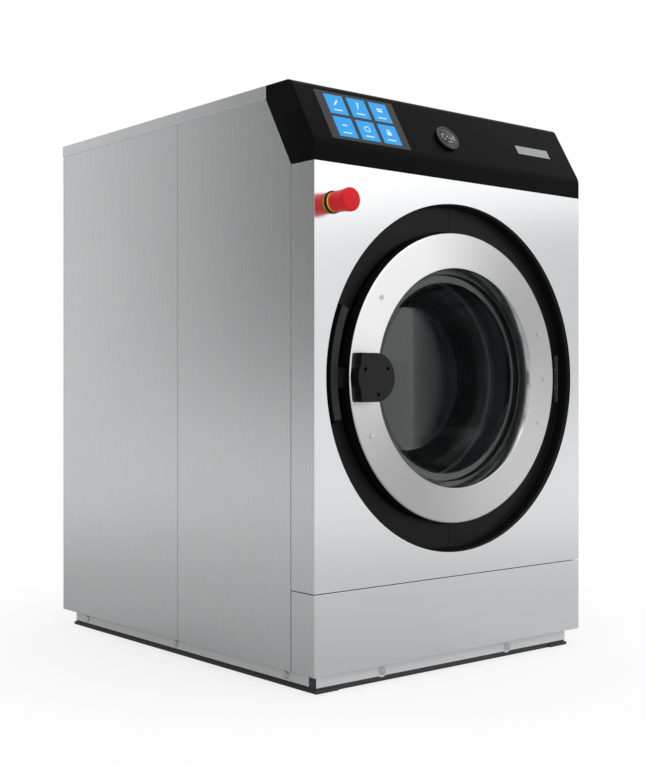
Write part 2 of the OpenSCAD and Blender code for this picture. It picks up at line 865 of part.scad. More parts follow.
// Screws of the door ring and of the latch housing
module door_screws() {
    color("silver") {
        for (a = screw_angles) {
            x = screw_ring_r * cos(a);
            z = door_z + screw_ring_r * sin(a);
            rod(4.5, -1.6, 0, x, z);
            rod(2.5, -1, ring_t, x, z);
        }
        for (a = hub_screw_angles)
            rod(3.2, -hub_t + 6, -hub_t + 9, -hub_x + hub_screw_r * cos(a), door_z + hub_screw_r * sin(a));
    }
}

module latch_housing() {
    color("black") difference() {
        union() {
            rod(hub_r, -hub_t, 0, -hub_x, door_z);
            intersection() {
                block(-door_r, -hub_x, -hub_t, 0, door_z - hub_r, door_z + hub_r);
                rod(door_r - 6, -hub_t - eps, eps);
            }
        }
        for (a = hub_screw_angles)
            rod(3.4, -hub_t - eps, -hub_t + 9, -hub_x + hub_screw_r * cos(a), door_z + hub_screw_r * sin(a));
        for (s = [-1, 1])
            rod(4, -hub_t - eps, eps, -hub_x - 20, door_z + s * (hub_r + 2.5));
    }
}

module handle_pin() {
    half = boss_h + 0.5 + lug_t;
    color("silver") upright(lever_pin_r, lever_x, lever_d, door_z - half, door_z + half);
}

// Curved grip in the recess, its arm and boss, and the tongue that enters the lock
module handle_lever() {
    color("dimgray") difference() {
        union() {
            intersection() {
                tube(grip_r[1], grip_r[0], grip_d[0], grip_d[1]);
                left_wedge(grip_angle - 1.4, grip_d[0] - eps, grip_d[1] + eps);
            }
            block(-grip_r[0] - 4, lever_x, lever_d - 3, lever_d + 3,
                door_z - boss_h + 1, door_z + boss_h - 1);
            upright(boss_r, lever_x, lever_d, door_z - boss_h, door_z + boss_h);
            block(lever_x - tongue_w / 2, lever_x + tongue_w / 2, lever_d, tongue_d,
                door_z - tongue_h, door_z + tongue_h);
        }
        upright(lever_pin_r + run_gap, lever_x, lever_d, door_z - 2 * boss_h, door_z + 2 * boss_h);
        upright(bolt_r + slide_gap, lever_x, bolt_d, door_z - 2 * boss_h, door_z + 2 * boss_h);
    }
}

module door_lock() {
    color("darkslategray") difference() {
        block(lock_x[0], lock_x[1], lock_d[0], lock_d[1], door_z - lock_h, door_z + lock_h);
        block(lock_x[0] + 2.5, lever_x + 12, lock_d[0] - eps, tongue_d + 6,
            door_z - pocket_h, door_z + pocket_h);
        upright(bolt_r + run_gap, lever_x, bolt_d, door_z, door_z + lock_h + eps);
    }
}

module lock_bolt() {
    color("silver") upright(bolt_r, lever_x, bolt_d, door_z + pocket_h + 0.5, door_z + lock_h + 6);
}

module tub_shell() {
    color("silver") difference() {
        tube(tub_r, tub_r - tub_t, tub_d, tub_end);
        upright(drain_r - 4, 0, drain_d, door_z - tub_r - 10, door_z - tub_r + 60);
    }
}

module tub_front() {
    color("silver") turned([
        [mouth_r, neck_d], [mouth_r + neck_t, neck_d], [mouth_r + neck_t, tub_d - tub_t],
        [tub_r, tub_d - tub_t], [tub_r, tub_d], [mouth_r, tub_d]
    ]);
}

module tub_back() {
    color("silver") difference() {
        rod(tub_r, tub_end, tub_end + back_t);
        rod(seal_hole_r, tub_end - eps, tub_end + back_t + eps);
        for (a = heater_angles)
            rod(heater_r, tub_end - eps, tub_end + back_t + eps,
                heater_place * cos(a), door_z + heater_place * sin(a));
    }
}

module mouth_seal() {
    color("black") turned([
        [seal_r, seal_d], [seal_out_r, seal_d], [seal_out_r, neck_d + 10], [mouth_r + neck_t, neck_d + 10],
        [mouth_r + neck_t, neck_d], [mouth_r, neck_d], [mouth_r, neck_d + 4], [seal_r, neck_d + 4]
    ]);
}

// Two heater pairs low in the tub, each with a header at the front and its ends through the back
module heating_elements() {
    front = tub_d + 30;
    header_r = heater_r + 1.8;
    color("gray") for (pair = [0, 1]) {
        ends = [for (i = [0, 1]) heater_angles[2 * pair + i]];
        middle = (ends[0] + ends[1]) / 2;
        half = (ends[1] - ends[0]) / 2;
        place = heater_place * cos(half);
        for (a = ends)
            rod(heater_r, front, tub_end + back_t + 15,
                heater_place * cos(a), door_z + heater_place * sin(a));
        translate([place * cos(middle), front_y + front, door_z + place * sin(middle)])
            rotate([0, -middle, 0])
                cylinder(h = 2 * heater_place * sin(half) + 18, r = header_r, center = true);
    }
}

module drum_shell() {
    color("silver") tube(drum_r, drum_r - drum_t, drum_d + drum_t, drum_end);
}

module drum_front() {
    t = drum_t;
    color("silver") turned([
        [drum_mouth_r, drum_d], [drum_r, drum_d], [drum_r, drum_d + t], [drum_mouth_r + t, drum_d + t],
        [drum_mouth_r + t, drum_d + drum_lip], [drum_mouth_r, drum_d + drum_lip]
    ]);
}

module drum_back() {
    color("silver") rod(drum_r, drum_end, drum_end + drum_t);
}

module lifter_outline(inset) {
    top = drum_r - drum_t - lifter_h + inset;
    foot = 46 - 1.3 * inset;
    polygon([[top, -12 + inset], [top, 12 - inset], [drum_r + 1, foot], [drum_r + 1, -foot]]);
}

// Folded sheet ribs, open towards the shell and closed at both ends
module drum_lifters() {
    length = drum_end - drum_d - drum_t - 16;
    color("silver") on_axis(drum_d + drum_t + 8) intersection() {
        cylinder(h = length, r = drum_r - drum_t);
        for (i = [0 : lifter_n - 1]) rotate([0, 0, 360 / lifter_n * i - 90]) difference() {
            linear_extrude(length) lifter_outline(0);
            translate([0, 0, drum_t]) linear_extrude(length - 2 * drum_t) lifter_outline(drum_t);
        }
    }
}

module drum_spider() {
    d0 = drum_end + drum_t;
    color("gray") difference() {
        union() {
            rod(spider_hub_r, d0, d0 + spider_t);
            on_axis(d0) for (i = [0 : 2]) rotate([0, 0, 120 * i - 90])
                translate([0, -25, 0]) cube([drum_r - 4, 50, 22]);
        }
        rod(hub_bore_r, d0 + 5, d0 + spider_t + eps);
    }
}

module drum_shaft() {
    color("lightgray") {
        rod(hub_bore_r, drum_end + drum_t + 5, tub_end - 4);
        rod(shaft_r, tub_end - 5, housing_d + housing_flange_t + bearing_w + 1);
        rod(shaft_tail_r, housing_d + housing_flange_t + bearing_w, pulley_d - 1);
        rod(pulley_bore_r, pulley_d - 2, pulley_d + pulley_w + 9);
    }
}

module drum_pulley() {
    d1 = pulley_d + pulley_w;
    color("dimgray") turned([
        [pulley_bore_r, pulley_d], [pulley_hub_r, pulley_d], [pulley_hub_r, pulley_d + 13],
        [pulley_r - 12, pulley_d + 13], [pulley_r - 12, pulley_d], [pulley_r, pulley_d],
        [pulley_r, d1], [pulley_r - 12, d1], [pulley_r - 12, pulley_d + 21],
        [pulley_hub_r, pulley_d + 21], [pulley_hub_r, d1], [pulley_bore_r, d1]
    ]);
}

module bearing_housing() {
    f = housing_flange_t;
    end = housing_d + housing_l;
    tail = end - tail_bearing_w - 2;
    color("gray") difference() {
        union() {
            rod(130, housing_d, housing_d + f);
            rod(bearing_r + 15, housing_d, end);
            on_axis(housing_d) for (i = [0 : 3]) rotate([0, 0, 90 * i + 45])
                translate([0, -6, 0]) cube([124, 12, 60]);
        }
        rod(shaft_r + 10, housing_d - eps, end + eps);
        rod(seal_hole_r, housing_d - eps, housing_d + 3);
        rod(bearing_r, housing_d + f, housing_d + f + bearing_w);
        rod(bearing_r - 6, housing_d + f + bearing_w - eps, tail + eps);
        rod(tail_bearing_r, tail, end + eps);
        difference() {
            rod(bearing_r + 60, housing_d + 60, end + eps);
            rod(bearing_r + 15, housing_d + 59, end + 2 * eps);
        }
    }
}

module bearings() {
    f = housing_d + housing_flange_t;
    tail = housing_d + housing_l - tail_bearing_w - 2;
    color("silver") {
        tube(bearing_r, shaft_r + run_gap, f, f + bearing_w);
        tube(tail_bearing_r, shaft_tail_r + run_gap, tail, tail + tail_bearing_w);
    }
}

module shaft_seal() {
    color("black") tube(seal_hole_r, shaft_r + run_gap, tub_end, tub_end + back_t + 3);
}

// Belt outline: an arc around each pulley, with the outer tangents between them
function arc_points(x, y, r, from, to, steps) = [
    for (i = [0 : steps]) let (a = from + i * (to - from) / steps) [x + r * cos(a), y + r * sin(a)]
];

module belt_outline(grow) {
    r1 = pulley_r + grow;
    r2 = motor_pulley_r + grow;
    dx = motor_x;
    dy = door_z - motor_z;
    lean = atan2(dy, dx);
    fan = acos((r1 - r2) / sqrt(dx * dx + dy * dy));
    steps = 72;
    sag = 1 / cos(180 / steps);
    polygon(concat(
        arc_points(0, 0, r1 * sag, lean + fan, lean + 360 - fan, steps),
        arc_points(dx, dy, r2 * sag, lean - fan, lean + fan, steps / 3)
    ));
}

module drive_belt() {
    color("black") on_axis(pulley_d + (pulley_w - belt_w) / 2) linear_extrude(belt_w) difference() {
        belt_outline(belt_gap + belt_t);
        belt_outline(belt_gap);
    }
}

module motor() {
    end = pulley_d - 20;
    start = end - motor_l;
    color("slategray") difference() {
        union() {
            rod(motor_r - 6, start, end, motor_x, motor_z);
            for (i = [0 : 6]) rod(motor_r, start + 30 + 24 * i, start + 38 + 24 * i, motor_x, motor_z);
            block(motor_x - 60, motor_x + 60, start + 30, end - 20, rail_h, motor_z - motor_r + 12);
            block(motor_x - 35, motor_x + 35, start + 50, start + 140,
                motor_z + motor_r - 20, motor_z + motor_r + 20);
        }
        rod(motor_shaft_r + run_gap, end - 32, end + eps, motor_x, motor_z);
    }
}

module motor_pulley() {
    color("gray") {
        rod(motor_shaft_r, pulley_d - 50, pulley_d + pulley_w + 4, motor_x, motor_z);
        rod(motor_pulley_r, pulley_d, pulley_d + pulley_w, motor_x, motor_z);
    }
}

// Valve under the tub and the pipe that carries the water out at the rear
module drain_valve() {
    wall = 4;
    color("dimgray") difference() {
        union() {
            upright(drain_r, 0, drain_d, drain_z - 30, door_z - tub_r + 20);
            rod(drain_r - 2, drain_d, cab_d + 1, 0, drain_z);
            rod(drain_r, cab_d + 1, cab_d + drain_out, 0, drain_z);
            block(-valve_l, valve_l, drain_d - valve_l, drain_d + valve_l, drain_z - 38, drain_z + 45);
            block(-valve_l - 45, -valve_l, drain_d - 25, drain_d + 25, drain_z - 25, drain_z + 25);
        }
        rod(tub_r, drain_d - 100, drain_d + 100);
        upright(drain_r - wall, 0, drain_d, drain_z, door_z);
        rod(drain_r - 2 - wall, drain_d, cab_d + drain_out + eps, 0, drain_z);
    }
}

// Two solenoid valves on the rear panel with their hoses to the tub
module water_inlets() {
    hose_d = tub_end - 30;
    color("gray") difference() {
        for (x = inlet_x) union() {
            rod(inlet_r - 1.5, cab_d - 20, cab_d + 1, x, inlet_z);
            rod(inlet_r, cab_d + 1, cab_d + inlet_l, x, inlet_z);
            block(x - 22, x + 22, cab_d - 60, cab_d - sheet_t, inlet_z - 24, inlet_z + 24);
            upright(15, x, cab_d - 42, inlet_z + 24, inlet_z + 64);
            rod(hose_r, hose_d, cab_d - 50, x, inlet_z);
            upright(hose_r, x, hose_d, door_z, inlet_z);
            translate([x, front_y + hose_d, inlet_z]) sphere(r = hose_r);
        }
        rod(tub_r, tub_d, tub_end + eps);
        for (x = inlet_x) rod(inlet_r - 4, cab_d - 10, cab_d + inlet_l + eps, x, inlet_z);
    }
}

// Gland for the supply cable, with its lock nut inside the rear panel
module cable_gland() {
    nut_t = 6;
    color("dimgray") difference() {
        union() {
            rod(gland_r + 3, cab_d - 12, cab_d + 4, gland_x, gland_z);
            on_axis(cab_d, gland_x, gland_z) cylinder(h = nut_t + 2, r = gland_r + 8, $fn = 6);
            rod(gland_r + 5, cab_d + nut_t, cab_d + 22, gland_x, gland_z);
            on_axis(cab_d - sheet_t - nut_t, gland_x, gland_z) cylinder(h = nut_t, r = gland_r + 8, $fn = 6);
        }
        rod(gland_r, cab_d - 12 - eps, cab_d + 22 + eps, gland_x, gland_z);
    }
}

base_frame();
skirt_front();
side_skirts();
skirt_bolts();
cabinet_frame();
side_panel_left_front();
side_panel_left_rear();
side_panel_right_front();
side_panel_right_rear();
rear_panel();
front_panel();
lower_front_panel();
top_cover();
console_housing();
touch_screen();
badge_plate();
selector_encoder();
selector_shaft();
selector_knob();
stop_collar();
stop_ring();
stop_contacts();
stop_stem();
stop_head();
surround_left();
surround_right();
hinge_bracket();
hinge_pin();
hinge_leaf();
door_ring();
door_carrier();
door_glass();
door_gasket();
door_screws();
latch_housing();
handle_pin();
handle_lever();
door_lock();
lock_bolt();
tub_shell();
tub_front();
tub_back();
mouth_seal();
heating_elements();
drum_shell();
drum_front();
drum_back();
drum_lifters();
drum_spider();
drum_shaft();
drum_pulley();
bearing_housing();
bearings();
shaft_seal();
drive_belt();
motor();
motor_pulley();
drain_valve();
water_inlets();
cable_gland();
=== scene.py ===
"""A front-loading washer extractor, piece by piece in order of assembly, in a pale studio."""
import math

import bpy
from mathutils import Matrix, Vector


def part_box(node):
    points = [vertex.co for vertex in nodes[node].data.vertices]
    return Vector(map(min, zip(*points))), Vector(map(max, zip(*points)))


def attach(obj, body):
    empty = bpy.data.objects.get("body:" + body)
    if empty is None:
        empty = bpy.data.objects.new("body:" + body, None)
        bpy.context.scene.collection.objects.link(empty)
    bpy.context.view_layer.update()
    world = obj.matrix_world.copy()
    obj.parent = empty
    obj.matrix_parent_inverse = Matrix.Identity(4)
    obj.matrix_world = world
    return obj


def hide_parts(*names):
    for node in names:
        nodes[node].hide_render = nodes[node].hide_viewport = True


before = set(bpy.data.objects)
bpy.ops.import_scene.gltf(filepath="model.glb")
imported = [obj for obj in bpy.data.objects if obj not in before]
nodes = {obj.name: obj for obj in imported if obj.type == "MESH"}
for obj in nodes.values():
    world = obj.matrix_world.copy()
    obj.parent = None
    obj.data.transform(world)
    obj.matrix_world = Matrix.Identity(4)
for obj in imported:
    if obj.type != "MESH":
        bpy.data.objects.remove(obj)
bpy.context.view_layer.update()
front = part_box("front_panel")[0].y
axis = Vector((0, 0, (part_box("drum_shell")[0].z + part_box("drum_shell")[1].z) / 2))


# ---------------------------------------------------------------- studio
# White surroundings that darken towards the left, so that steel facing that way
# turns grey, with a pale floor, two soft boxes and the camera at the left front.
def linear(colour):
    """The linear colour of an sRGB hex one."""
    parts = [int(colour[i : i + 2], 16) / 255 for i in (1, 3, 5)]
    return [p / 12.92 if p <= 0.04045 else ((p + 0.055) / 1.055) ** 2.4 for p in parts] + [1]


def add(tree, kind, values=None, **settings):
    """A new shader node, with its settings made and its inputs set or linked."""
    made = tree.nodes.new("ShaderNode" + kind)
    for name, value in settings.items():
        setattr(made, name, value)
    for name, value in (values or {}).items():
        if isinstance(value, bpy.types.NodeSocket):
            tree.links.new(value, made.inputs[name])
        else:
            made.inputs[name].default_value = value
    return made


scene = bpy.context.scene
scene.view_settings.view_transform = "Standard"
scene.world = bpy.data.worlds.new("studio")
scene.world.use_nodes = True
tree = scene.world.node_tree
tree.nodes.clear()
way = add(tree, "SeparateXYZ", {"Vector": add(tree, "TexCoord").outputs["Generated"]})
left = add(tree, "Math", {0: way.outputs["X"], 1: -1.0}, operation="MULTIPLY")
turn = add(tree, "Math", {0: left.outputs[0], 1: way.outputs["Y"]}, operation="ARCTAN2")
share = add(tree, "MapRange", {"Value": turn.outputs[0], "From Min": -math.pi, "From Max": math.pi})
across = add(tree, "ValToRGB", {"Fac": share.outputs[0]})
levels = across.color_ramp.elements
for degrees, level in ((-142, 0.86), (-128, 0.62), (-90, 0.75), (0, 1.0), (28, 1.0), (33, 0.7),
                       (36, 0.12), (46, 0.05), (78, 0.06), (92, 0.8), (120, 0.8)):
    levels.new((degrees + 180) / 360).color = (level, level, level, 1)
levels[0].color = levels[-1].color = (0.92, 0.92, 0.92, 1)
lift = add(tree, "MapRange", {
    "Value": way.outputs["Z"], "From Min": -0.1, "From Max": 0.3, "To Min": 0.97, "To Max": 1.03})
glow = add(tree, "Math", {0: across.outputs[0], 1: lift.outputs[0]}, operation="MULTIPLY")
soft = add(tree, "Background", {"Color": (1, 1, 1, 1), "Strength": glow.outputs[0]})
plain = add(tree, "Background", {"Color": (1, 1, 1, 1), "Strength": 1.0})
seen = add(tree, "LightPath").outputs["Is Camera Ray"]
mixed = add(tree, "MixShader", {0: seen, 1: soft.outputs[0], 2: plain.outputs[0]})
add(tree, "OutputWorld", {"Surface": mixed.outputs[0]})

for name, place, wide, power in (
    ("box_front_right", (2.6, -2.9, 2.5), 2.4, 9),
    ("box_above", (-0.4, -0.6, 3.2), 2.6, 20),
):
    light = bpy.data.lights.new(name, "AREA")
    light.size, light.energy = wide, power
    lamp = bpy.data.objects.new(name, light)
    scene.collection.objects.link(lamp)
    lamp.location = place
    lamp.rotation_euler = (Vector((0, -0.1, 0.5)) - Vector(place)).to_track_quat("-Z", "Y").to_euler()

bpy.ops.mesh.primitive_circle_add(vertices=96, radius=30, fill_type="NGON", location=(0, 0, -0.0005))
floor = bpy.context.object
floor.name = "floor"
pale = bpy.data.materials.new("pale studio floor")
pale.use_nodes = True
tree = pale.node_tree
place = add(tree, "TexCoord").outputs["Object"]
grain = add(tree, "TexNoise", {"Vector": place, "Scale": 3.0, "Detail": 4.0})
tone = add(tree, "MixRGB", {
    "Fac": grain.outputs["Fac"], "Color1": linear("#f1f1f1"), "Color2": linear("#f6f6f6")})
matt = add(tree, "BsdfDiffuse", {"Color": tone.outputs[0]})
reach = add(tree, "VectorMath", {0: place}, operation="LENGTH")
far = add(tree, "MapRange", {
    "Value": reach.outputs["Value"], "From Min": 0.2, "From Max": 1.2, "To Min": 0.72, "To Max": 1.0},
    interpolation_type="SMOOTHSTEP")
white = add(tree, "Emission", {"Color": (1, 1, 1, 1), "Strength": 1.0})
both = add(tree, "MixShader", {0: far.outputs[0], 1: matt.outputs[0], 2: white.outputs[0]})
dim = add(tree, "BsdfDiffuse", {"Color": linear("#d0d0d0")})
sweep = add(tree, "MapRange", {
    "Value": reach.outputs["Value"], "From Min": 1.2, "From Max": 3.6}, interpolation_type="SMOOTHSTEP")
wall = add(tree, "Emission", {"Color": (1, 1, 1, 1), "Strength": 0.85})
dim = add(tree, "MixShader", {0: sweep.outputs[0], 1: dim.outputs[0], 2: wall.outputs[0]})
seen = add(tree, "LightPath").outputs["Is Camera Ray"]
whole = add(tree, "MixShader", {0: seen, 1: dim.outputs[0], 2: both.outputs[0]})
tree.links.new(whole.outputs[0], tree.nodes["Material Output"].inputs["Surface"])
floor.data.materials.append(pale)

camera = bpy.data.objects.new("camera", bpy.data.cameras.new("camera"))
scene.collection.objects.link(camera)
camera.location = (-1.753, -2.142, 0.541)
camera.rotation_euler = (math.radians(90), 0, math.radians(-39.85))
camera.data.lens, camera.data.sensor_width = 58.66, 36
scene.camera = camera


# ---------------------------------------------------------------- finishes of sheet steel
# Brushed stainless: fine straight scratches along one way, which vary its gloss a little
# and tip the light. Paint has a faint orange peel. Both are scaled in millimetres.
def brushed(name, colour, stretch, gloss=0.26, deep=0.00002):
    """Stainless steel scratched along the way whose stretch is small."""
    made = bpy.data.materials.new(name)
    made.use_nodes = True
    tree = made.node_tree
    shader = tree.nodes["Principled BSDF"]
    place = add(tree, "Mapping", {
        "Vector": add(tree, "TexCoord").outputs["Object"], "Scale": stretch})
    line = add(tree, "TexNoise", {"Vector": place.outputs[0], "Scale": 1.0, "Detail": 3.0})
    blur = add(tree, "TexNoise", {
        "Vector": add(tree, "TexCoord").outputs["Object"], "Scale": 4.0, "Detail": 2.0})
    rough = add(tree, "MapRange", {
        "Value": line.outputs["Fac"], "From Min": 0.3, "From Max": 0.7,
        "To Min": gloss - 0.012, "To Max": gloss + 0.012})
    tone = add(tree, "MixRGB", {
        "Fac": blur.outputs["Fac"], "Color1": [0.96 * c for c in linear(colour)[:3]] + [1],
        "Color2": linear(colour)})
    bump = add(tree, "Bump", {"Height": line.outputs["Fac"], "Distance": deep, "Strength": 0.22})
    tree.links.new(tone.outputs[0], shader.inputs["Base Color"])
    tree.links.new(rough.outputs[0], shader.inputs["Roughness"])
    tree.links.new(bump.outputs[0], shader.inputs["Normal"])
    shader.inputs["Metallic"].default_value = 1.0
    return made


def coated(name, colour, gloss=0.45, grain=900, deep=0.00004, metal=0.0, shine=0.5):
    """Paint, plastic, rubber or cast metal with a fine even grain."""
    made = bpy.data.materials.new(name)
    made.use_nodes = True
    tree = made.node_tree
    shader = tree.nodes["Principled BSDF"]
    place = add(tree, "TexCoord").outputs["Object"]
    peel = add(tree, "TexNoise", {"Vector": place, "Scale": grain, "Detail": 2.0})
    wear = add(tree, "TexNoise", {"Vector": place, "Scale": 9.0, "Detail": 5.0})
    rough = add(tree, "MapRange", {
        "Value": wear.outputs["Fac"], "From Min": 0.3, "From Max": 0.7,
        "To Min": gloss - 0.06, "To Max": gloss + 0.06})
    bump = add(tree, "Bump", {"Height": peel.outputs["Fac"], "Distance": deep, "Strength": 0.5})
    tree.links.new(rough.outputs[0], shader.inputs["Roughness"])
    tree.links.new(bump.outputs[0], shader.inputs["Normal"])
    shader.inputs["Base Color"].default_value = linear(colour)
    shader.inputs["Metallic"].default_value = metal
    shader.inputs["Specular IOR Level"].default_value = shine
    return made


def dressed(node, name, material, body, width=0.0006, turn=32):
    """A copy of a CAD node with its triangles merged and its edges broken."""
    piece = bpy.data.objects.new(name, nodes[node].data.copy())
    scene.collection.objects.link(piece)
    bpy.ops.object.select_all(action="DESELECT")
    bpy.context.view_layer.objects.active = piece
    piece.select_set(True)
    piece.data.materials.clear()
    piece.data.materials.append(material)
    bpy.ops.mesh.customdata_custom_splitnormals_clear()
    bpy.ops.object.mode_set(mode="EDIT")
    bpy.ops.mesh.select_all(action="SELECT")
    bpy.ops.mesh.remove_doubles(threshold=0.00002)
    bpy.ops.mesh.dissolve_limited(angle_limit=math.radians(0.4))
    bpy.ops.mesh.normals_make_consistent(inside=False)
    bpy.ops.object.mode_set(mode="OBJECT")
    bpy.ops.object.shade_smooth_by_angle(angle=math.radians(turn))
    if width:
        bevel = piece.modifiers.new("edges", "BEVEL")
        bevel.width, bevel.segments, bevel.harden_normals = width, 2, True
        bevel.angle_limit = math.radians(turn)
    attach(piece, body)
    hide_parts(node)
    return piece


# ---------------------------------------------------------------- base frame
# Welded steel rails with a floor lip and foot plates, in dark grey paint.
grey_paint = coated("steel, dark grey powder coat", "#434445", 0.45, 700, shine=0.4)
dressed("base_frame", "base", grey_paint, "cabinet", 0.0008)

# ---------------------------------------------------------------- cabinet frame and rear panel
# Folded zinc-coated steel that carries the panels; the rear panel has vent slots.
zinc = coated("steel, hot-dip zinc coated", "#a4a6a8", 0.38, 40, 0.00001, 1.0)
dressed("cabinet_frame", "frame_folded", zinc, "cabinet", 0.0005)
dressed("rear_panel", "rear_panel_pressed", zinc, "cabinet", 0.0004)

# ---------------------------------------------------------------- side panels
# Stainless sheet folded at its edges, brushed upright, two to each side.
side_steel = brushed("stainless steel, side sheet, brushed", "#d6d7d8", (500, 500, 6), 0.28,
                     0.000006)
for side in ("left", "right"):
    for part in ("front", "rear"):
        dressed(f"side_panel_{side}_{part}", f"side_{side}_{part}", side_steel,
                "cabinet", 0.001)

# ---------------------------------------------------------------- skirts and their bolts
# Folded steel strips round the base in a pale coat, held by plated round-headed bolts.
skirt_steel = coated("steel, silver powder coat", "#f0f1f2", 0.4, 600)
bolt_steel = coated("steel, bright zinc plated", "#d4d5d6", 0.14, 300, 0.000002, 1.0)
dressed("skirt_front", "skirt_strip_front", skirt_steel, "cabinet", 0.0004)
dressed("side_skirts", "skirt_strips_side", skirt_steel, "cabinet", 0.0004)
dressed("skirt_bolts", "skirt_bolt_heads", bolt_steel, "cabinet", 0.0022)

# ---------------------------------------------------------------- front panels and top cover
# Heavier stainless, brushed upright on the front and lengthwise on the top.
front_steel = brushed("stainless steel, front sheet, brushed upright", "#f0f1f2", (700, 700, 5), 0.18,
                      0.00001)
cover_steel = brushed("stainless steel, top sheet, brushed", "#dcddde", (1000, 9, 9), 0.3)
for node, name in (("front_panel", "front_sheet"), ("lower_front_panel", "front_sheet_lower")):
    sheet = dressed(node, name, front_steel, "cabinet", 0.0008)
    # Painted shade: the faces of the front sheets that look sideways take the darker side steel, so they read
    # as turned away from the light.
    sheet.data.materials.append(side_steel)
    for face in sheet.data.polygons:
        if abs(face.normal.x) > 0.9:
            face.material_index = 1
dressed("top_cover", "top_sheet", cover_steel, "cabinet", 0.001)


# ---------------------------------------------------------------- tub
# A welded stainless drum of water: rolled shell, flat back and a front plate with a neck.
tub_steel = coated("stainless steel, tub sheet, mill finish", "#8f9193", 0.36, 60, 0.00001, 1.0)
dressed("tub_shell", "tub_wall", tub_steel, "cabinet", 0.0008)
dressed("tub_front", "tub_front_plate", tub_steel, "cabinet", 0.0008)
dressed("tub_back", "tub_back_plate", tub_steel, "cabinet", 0.0008)
dressed("heating_elements", "heater_rods", coated(
    "nickel alloy, heater sheath", "#6d665f", 0.4, 200, 0.00001, 1.0), "cabinet", 0.0006)


# ---------------------------------------------------------------- drum shell
# Perforated stainless: one cell of sheet with a punched hole, repeated into a strip,
# rolled about the drum's axis and given the sheet's thickness, in two welded lengths.
drum_steel = coated("stainless steel, drum sheet, satin", "#8b8d90", 0.5, 60, 0.00001, 0.75)
shell_low, shell_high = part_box("drum_shell")
shell_r = (shell_high.x - shell_low.x) / 2
around, rows, edge_band = 208, 23, 0.012
pitch = 2 * math.pi * shell_r / around
half_length = (shell_high.y - shell_low.y) / 2
row_pitch = (half_length - 1.3 * edge_band) / rows
for name, start in (("drum_sheet_front", shell_low.y), ("drum_sheet_rear", shell_low.y + half_length)):
    bpy.ops.mesh.primitive_plane_add(size=1, location=(0, 0, 0))
    sheet = bpy.context.object
    sheet.name = name
    bpy.ops.object.mode_set(mode="EDIT")
    bpy.ops.transform.resize(value=(pitch, row_pitch, 1))
    bpy.ops.mesh.inset(thickness=0.0021)
    bpy.ops.mesh.bevel(offset=0.0013, segments=1, affect="VERTICES")
    bpy.ops.mesh.delete(type="FACE")
    bpy.ops.object.mode_set(mode="OBJECT")
    for count, step in ((around, (pitch, 0, 0)), (rows, (0, row_pitch, 0))):
        copies = sheet.modifiers.new("copies", "ARRAY")
        copies.count, copies.use_relative_offset = count, False
        copies.use_constant_offset, copies.constant_offset_displace = True, step
        copies.use_merge_vertices, copies.merge_threshold = True, 0.00005
        bpy.ops.object.modifier_apply(modifier=copies.name)
    bpy.ops.object.mode_set(mode="EDIT")
    for at, move in ((-row_pitch / 2, -edge_band), ((rows - 0.5) * row_pitch, 0.3 * edge_band)):
        bpy.ops.mesh.select_all(action="DESELECT")
        bpy.ops.object.mode_set(mode="OBJECT")
        for vertex in sheet.data.vertices:
            vertex.select = abs(vertex.co.y - at) < 0.0001
        bpy.ops.object.mode_set(mode="EDIT")
        bpy.ops.mesh.select_mode(type="VERT")
        bpy.ops.mesh.extrude_region_move(TRANSFORM_OT_translate={"value": (0, move, 0)})
    bpy.ops.object.mode_set(mode="OBJECT")
    first = start + edge_band + row_pitch / 2
    for vertex in sheet.data.vertices:
        turn = vertex.co.x / shell_r
        vertex.co = (shell_r * math.sin(turn), first + vertex.co.y, axis.z + shell_r * math.cos(turn))
    bpy.ops.object.mode_set(mode="EDIT")
    bpy.ops.mesh.select_all(action="SELECT")
    bpy.ops.mesh.remove_doubles(threshold=0.00005)
    bpy.ops.mesh.normals_make_consistent(inside=False)
    bpy.ops.object.mode_set(mode="OBJECT")
    thick = sheet.modifiers.new("thickness", "SOLIDIFY")
    thick.thickness, thick.offset = 0.0015, -1
    bpy.ops.object.modifier_apply(modifier=thick.name)
    bpy.ops.object.shade_smooth_by_angle(angle=math.radians(30))
    sheet.data.materials.append(drum_steel)
    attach(sheet, "drum")
    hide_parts("drum_shell")

# ---------------------------------------------------------------- drum ends, lifters, spider, pulley
# Pressed ends and hollow lifters in the same steel; a cast spider carries the shaft.
dressed("drum_front", "drum_mouth", drum_steel, "drum", 0.0006)
dressed("drum_back", "drum_end", drum_steel, "drum", 0.0004)
dressed("drum_lifters", "lifters", drum_steel, "drum", 0.003)
cast_aluminium = coated("aluminium alloy, sand cast", "#a3a5a6", 0.5, 500, 0.00008, 1.0)
cast_iron = coated("iron, sand cast and painted grey", "#4d5052", 0.55, 450, 0.0001)
ground_steel = brushed("carbon steel, ground", "#b4b5b6", (40, 40, 900), 0.22)
dressed("drum_spider", "spider", cast_aluminium, "drum", 0.002)
dressed("drum_shaft", "shaft", ground_steel, "drum", 0.0006)
dressed("drum_pulley", "pulley_large", cast_aluminium, "drum", 0.001)
dressed("bearing_housing", "bearing_block", cast_iron, "cabinet", 0.002)
dressed("bearings", "bearing_rings", ground_steel, "cabinet", 0.0005)

